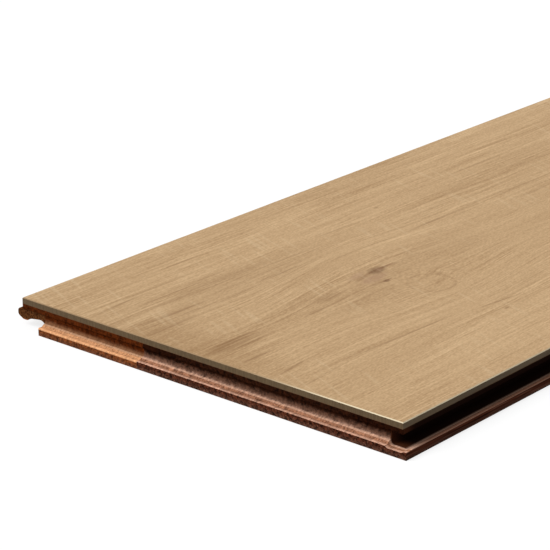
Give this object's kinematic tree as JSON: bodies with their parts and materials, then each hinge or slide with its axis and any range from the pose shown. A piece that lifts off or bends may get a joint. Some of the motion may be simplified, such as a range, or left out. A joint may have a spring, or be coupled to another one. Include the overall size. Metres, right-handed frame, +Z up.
{
  "type": "engineered floorboard",
  "caption": "Engineered floorboard: a flat oak wear layer bonded to a dark hardwood core, with a click joint milled along its sides and ends.",
  "frame": {"origin": "middle of the underside, at the centre of the board's outer length and width", "axes": "+X along the board from its groove end to its tongue end, +Y across it from the groove side to the tongue side, +Z up through the wear layer"},
  "size_m": [1.2248, 0.229, 0.014],
  "materials": {
    "oak": "matt sawn oak",
    "core_wood": "dark reddish-brown hardwood, raw where milled"
  },
  "bodies": {
    "root": {"wear_layer": "oak", "core_board": "core_wood"}
  },
  "joints": []
}
